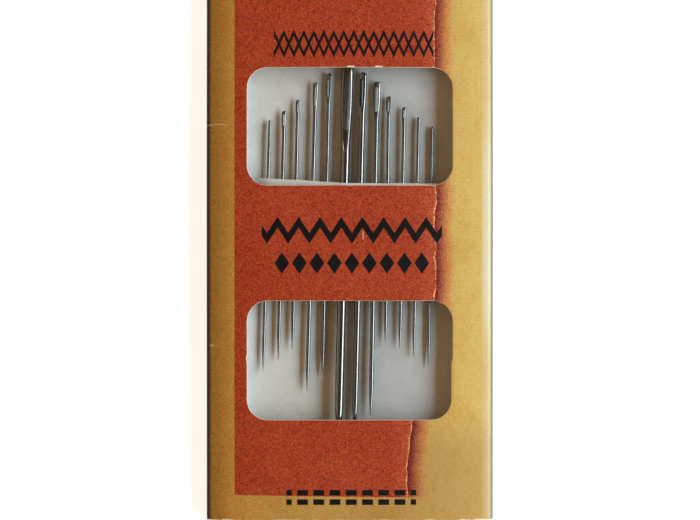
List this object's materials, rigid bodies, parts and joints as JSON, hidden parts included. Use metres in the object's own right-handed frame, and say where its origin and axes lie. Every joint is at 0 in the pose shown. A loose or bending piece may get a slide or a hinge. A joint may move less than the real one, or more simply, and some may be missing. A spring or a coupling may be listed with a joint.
{
  "type": "needle case",
  "caption": "Flat card packet with two windows and a slide-out card that holds hand sewing needles under a strap.",
  "frame": {"origin": "middle of the back panel's outer face, at the centre of the packet's footprint", "axes": "+Z out of the printed front, +Y along the packet towards the needles' eyes, +X to the right as the front is read"},
  "size_m": [0.045, 0.088, 0.0044],
  "materials": {
    "printed_card": "satin",
    "card_glue": "satin",
    "grey_card": "satin",
    "strap_paper": "satin",
    "backing_paper": "matte",
    "needle_steel": "polished"
  },
  "bodies": {
    "sleeve": {"sleeve": "printed_card", "sleeve_seam_glue": "card_glue"},
    "card": {"insert_card": "grey_card", "needle_strap": "strap_paper", "strap_backing": "backing_paper", "strap_glue_left": "card_glue", "strap_glue_right": "card_glue"},
    "needle_01": {"needle_01": "needle_steel"},
    "needle_02": {"needle_02": "needle_steel"},
    "needle_03": {"needle_03": "needle_steel"},
    "needle_04": {"needle_04": "needle_steel"},
    "needle_05": {"needle_05": "needle_steel"},
    "needle_06": {"needle_06": "needle_steel"},
    "needle_07": {"needle_07": "needle_steel"},
    "needle_08": {"needle_08": "needle_steel"},
    "needle_09": {"needle_09": "needle_steel"},
    "needle_10": {"needle_10": "needle_steel"},
    "needle_11": {"needle_11": "needle_steel"},
    "needle_12": {"needle_12": "needle_steel"}
  },
  "joints": [
    {"name": "card_slide", "type": "slide", "parent": "sleeve", "child": "card", "axis": [0, 1, 0], "range_m": [-0.09, 0.09]},
    {"name": "needle_01_slide", "type": "slide", "parent": "card", "child": "needle_01", "axis": [0.027, 0.9996, 0], "range_m": [-0.005, 0.067]},
    {"name": "needle_02_slide", "type": "slide", "parent": "card", "child": "needle_02", "axis": [0.0241, 0.9997, 0], "range_m": [-0.005, 0.066]},
    {"name": "needle_03_slide", "type": "slide", "parent": "card", "child": "needle_03", "axis": [0.0227, 0.9997, 0], "range_m": [-0.005, 0.064]},
    {"name": "needle_04_slide", "type": "slide", "parent": "card", "child": "needle_04", "axis": [0.0283, 0.9996, 0], "range_m": [-0.005, 0.07]},
    {"name": "needle_05_slide", "type": "slide", "parent": "card", "child": "needle_05", "axis": [0.0227, 0.9997, 0], "range_m": [-0.005, 0.068]},
    {"name": "needle_06_slide", "type": "slide", "parent": "card", "child": "needle_06", "axis": [0.0169, 0.9999, 0], "range_m": [-0.003, 0.074]},
    {"name": "needle_07_slide", "type": "slide", "parent": "card", "child": "needle_07", "axis": [0.0222, 0.9998, 0], "range_m": [-0.005, 0.073]},
    {"name": "needle_08_slide", "type": "slide", "parent": "card", "child": "needle_08", "axis": [0.0194, 0.9998, 0], "range_m": [-0.005, 0.074]},
    {"name": "needle_09_slide", "type": "slide", "parent": "card", "child": "needle_09", "axis": [0.0136, 0.9999, 0], "range_m": [-0.005, 0.063]},
    {"name": "needle_10_slide", "type": "slide", "parent": "card", "child": "needle_10", "axis": [0.0187, 0.9998, 0], "range_m": [-0.005, 0.063]},
    {"name": "needle_11_slide", "type": "slide", "parent": "card", "child": "needle_11", "axis": [0.0213, 0.9998, 0], "range_m": [-0.005, 0.065]},
    {"name": "needle_12_slide", "type": "slide", "parent": "card", "child": "needle_12", "axis": [0.0155, 0.9999, 0], "range_m": [-0.005, 0.066]}
  ]
}
